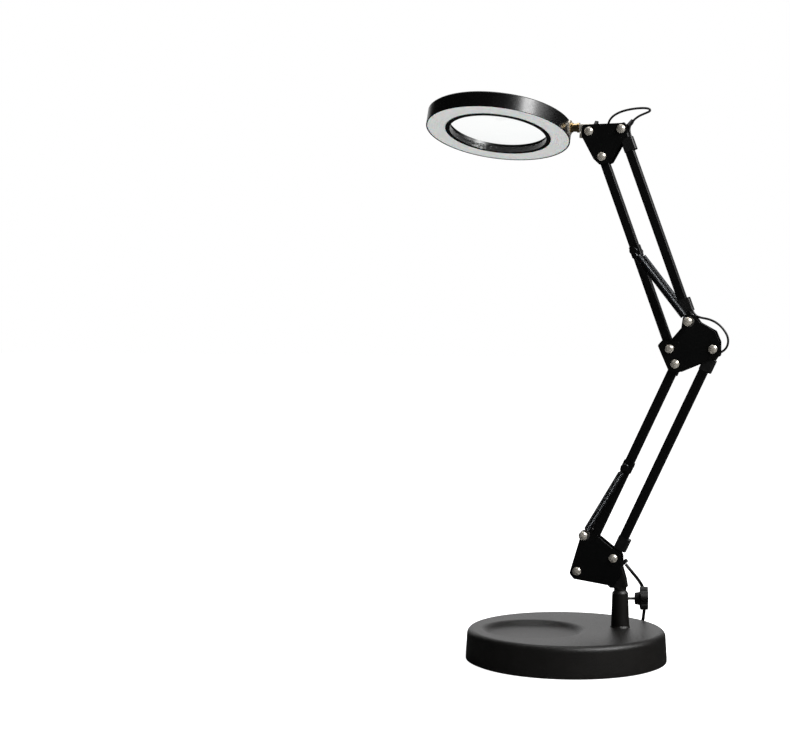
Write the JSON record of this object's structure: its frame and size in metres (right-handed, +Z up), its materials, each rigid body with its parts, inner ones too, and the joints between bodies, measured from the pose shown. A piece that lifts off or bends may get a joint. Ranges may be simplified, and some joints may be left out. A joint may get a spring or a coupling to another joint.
{
  "type": "magnifying lamp",
  "caption": "Desk magnifying lamp: ring light with a lens on two spring-balanced parallelogram arms, swivelling on a round weighted base with a parts dish.",
  "frame": {"origin": "centre of the base's foot face, on the desk", "axes": "+Z up; +X and +Z span the plane in which the arms stand at rest, and the head is on the -X side"},
  "size_m": [0.2787, 0.2419, 0.5077],
  "materials": {
    "base_paint": "fine textured matt black",
    "arm_paint": "satin black",
    "iron": "bare cast",
    "foam": "matt foam",
    "nickel": "bright nickel",
    "zinc": "zinc plated",
    "steel": "plain steel",
    "brass": "polished brass",
    "black_plastic": "moulded matt black",
    "gloss_black": "gloss black",
    "diffuser": "opal white",
    "board": "white solder mask",
    "glass": "polished clear",
    "black_spring": "blackened wire",
    "lead_jacket": "smooth black jacket",
    "button_rubber": "satin grey"
  },
  "bodies": {
    "base": {"base_cover": "base_paint", "ballast_plate": "iron", "foot_pad": "foam", "base_screws": "zinc", "socket_column": "base_paint", "column_fixings": "zinc", "tail_lead": "lead_jacket", "control_base": "black_plastic", "control_cover": "black_plastic", "lead_coil": "lead_jacket", "coil_tie": "black_plastic", "plug_body": "black_plastic", "plug_shell": "nickel"},
    "clamp_knob": {"clamp_screw": "steel", "clamp_knob": "black_plastic"},
    "lower_bracket": {"lower_plate_front": "arm_paint", "lower_plate_rear": "arm_paint", "lower_bolts": "nickel", "lower_fixings": "zinc", "swivel_stem": "base_paint", "lead_clip": "black_plastic", "lower_springs": "black_spring"},
    "lower_left_bar": {"lower_tube_left": "arm_paint", "lower_spring_clip": "arm_paint"},
    "lower_right_bar": {"lower_tube_right": "arm_paint", "lower_sleeves": "black_plastic"},
    "elbow": {"elbow_plate_front": "arm_paint", "elbow_plate_rear": "arm_paint", "elbow_bolts": "nickel", "elbow_fixings": "zinc", "elbow_loop_upper": "lead_jacket", "elbow_loop_lower": "lead_jacket", "upper_springs": "black_spring"},
    "elbow_wing_nut": {"elbow_wing_nut": "black_plastic"},
    "upper_left_bar": {"upper_tube_left": "arm_paint", "upper_spring_clip": "arm_paint"},
    "upper_right_bar": {"upper_tube_right": "arm_paint", "upper_sleeves": "black_plastic"},
    "top_bracket": {"top_plate_front": "arm_paint", "top_plate_rear": "arm_paint", "top_bolts": "nickel", "top_fixings": "zinc", "lead_grip": "black_plastic", "top_loop": "lead_jacket"},
    "arm_wing_nut": {"arm_wing_nut": "black_plastic"},
    "head_wing_nut": {"head_wing_nut": "black_plastic"},
    "head_swivel": {"swivel_block": "nickel"},
    "stem_thumb_screw": {"stem_thumb_screw": "nickel"},
    "head": {"head_housing": "gloss_black", "head_back_cover": "gloss_black", "diffuser_ring": "diffuser", "lens_bezel": "gloss_black", "lens": "glass", "led_board": "board", "head_screws": "zinc", "head_flange": "nickel", "head_stem": "brass"},
    "dim_button": {"dim_button": "button_rubber"},
    "power_button": {"power_button": "button_rubber"},
    "bright_button": {"bright_button": "button_rubber"}
  },
  "joints": [
    {"name": "clamp_knob_turn", "type": "hinge", "parent": "base", "child": "clamp_knob", "pos_m": [0.04435, 0.02309, 0.054], "axis": [0.9659, 0.2588, 0], "continuous": true},
    {"name": "base_swivel", "type": "hinge", "parent": "base", "child": "lower_bracket", "pos_m": [0.04435, 0.02309, 0.06], "axis": [0, 0, 1], "range_deg": [-120, 120], "deforming": ["tail_lead"]},
    {"name": "lower_arm", "type": "hinge", "parent": "lower_bracket", "child": "lower_right_bar", "pos_m": [0.039, 0.02309, 0.0905], "axis": [0, -1, 0], "range_deg": [-24, 50]},
    {"name": "lower_left_hinge", "type": "hinge", "parent": "lower_bracket", "child": "lower_left_bar", "pos_m": [0.0055, 0.02309, 0.077], "axis": [0, -1, 0], "range_deg": [-24, 50], "deforming": ["lower_springs"]},
    {"name": "elbow_hinge", "type": "hinge", "parent": "lower_right_bar", "child": "elbow", "pos_m": [0.1275, 0.02309, 0.2795], "axis": [0, -1, 0], "range_deg": [-50, 24], "deforming": ["elbow_loop_lower"]},
    {"name": "elbow_wing_nut_turn", "type": "hinge", "parent": "elbow", "child": "elbow_wing_nut", "pos_m": [0.094, 0.02309, 0.266], "axis": [0, 1, 0], "continuous": true},
    {"name": "upper_arm", "type": "hinge", "parent": "elbow", "child": "upper_right_bar", "pos_m": [0.1065, 0.02309, 0.3035], "axis": [0, -1, 0], "range_deg": [-33, 60], "deforming": ["elbow_loop_upper"]},
    {"name": "upper_left_hinge", "type": "hinge", "parent": "elbow", "child": "upper_left_bar", "pos_m": [0.089, 0.02309, 0.2795], "axis": [0, -1, 0], "range_deg": [-33, 60], "deforming": ["upper_springs"]},
    {"name": "top_hinge", "type": "hinge", "parent": "upper_right_bar", "child": "top_bracket", "pos_m": [0.0445, 0.02309, 0.4755], "axis": [0, -1, 0], "range_deg": [-60, 33], "deforming": ["top_loop"]},
    {"name": "arm_wing_nut_turn", "type": "hinge", "parent": "top_bracket", "child": "arm_wing_nut", "pos_m": [0.0445, 0.02309, 0.4755], "axis": [0, 1, 0], "continuous": true},
    {"name": "head_wing_nut_turn", "type": "hinge", "parent": "top_bracket", "child": "head_wing_nut", "pos_m": [0.015, 0.02309, 0.4745], "axis": [0, 1, 0], "continuous": true},
    {"name": "head_tilt", "type": "hinge", "parent": "top_bracket", "child": "head_swivel", "pos_m": [0.015, 0.02309, 0.4745], "axis": [0, -1, 0], "range_deg": [-35, 55]},
    {"name": "stem_thumb_screw_turn", "type": "hinge", "parent": "head_swivel", "child": "stem_thumb_screw", "pos_m": [0.0077, 0.02309, 0.47849], "axis": [-0.0523, 0, -0.9986], "continuous": true},
    {"name": "head_roll", "type": "hinge", "parent": "head_swivel", "child": "head", "pos_m": [0.01519, 0.02309, 0.47809], "axis": [0.9986, 0, -0.0523], "range_deg": [-90, 90]},
    {"name": "dim_button_press", "type": "slide", "parent": "base", "child": "dim_button", "axis": [0, 0, -1], "range_m": [0, 0.0007], "stiffness_N_per_m": 300},
    {"name": "power_button_press", "type": "slide", "parent": "base", "child": "power_button", "axis": [0, 0, -1], "range_m": [0, 0.0007], "stiffness_N_per_m": 300},
    {"name": "bright_button_press", "type": "slide", "parent": "base", "child": "bright_button", "axis": [0, 0, -1], "range_m": [0, 0.0007], "stiffness_N_per_m": 300}
  ],
  "couplings": [
    {"joint": "lower_left_hinge", "follows": "lower_arm", "ratio": 1},
    {"joint": "elbow_hinge", "follows": "lower_arm", "ratio": -1},
    {"joint": "upper_left_hinge", "follows": "upper_arm", "ratio": 1},
    {"joint": "top_hinge", "follows": "upper_arm", "ratio": -1}
  ]
}
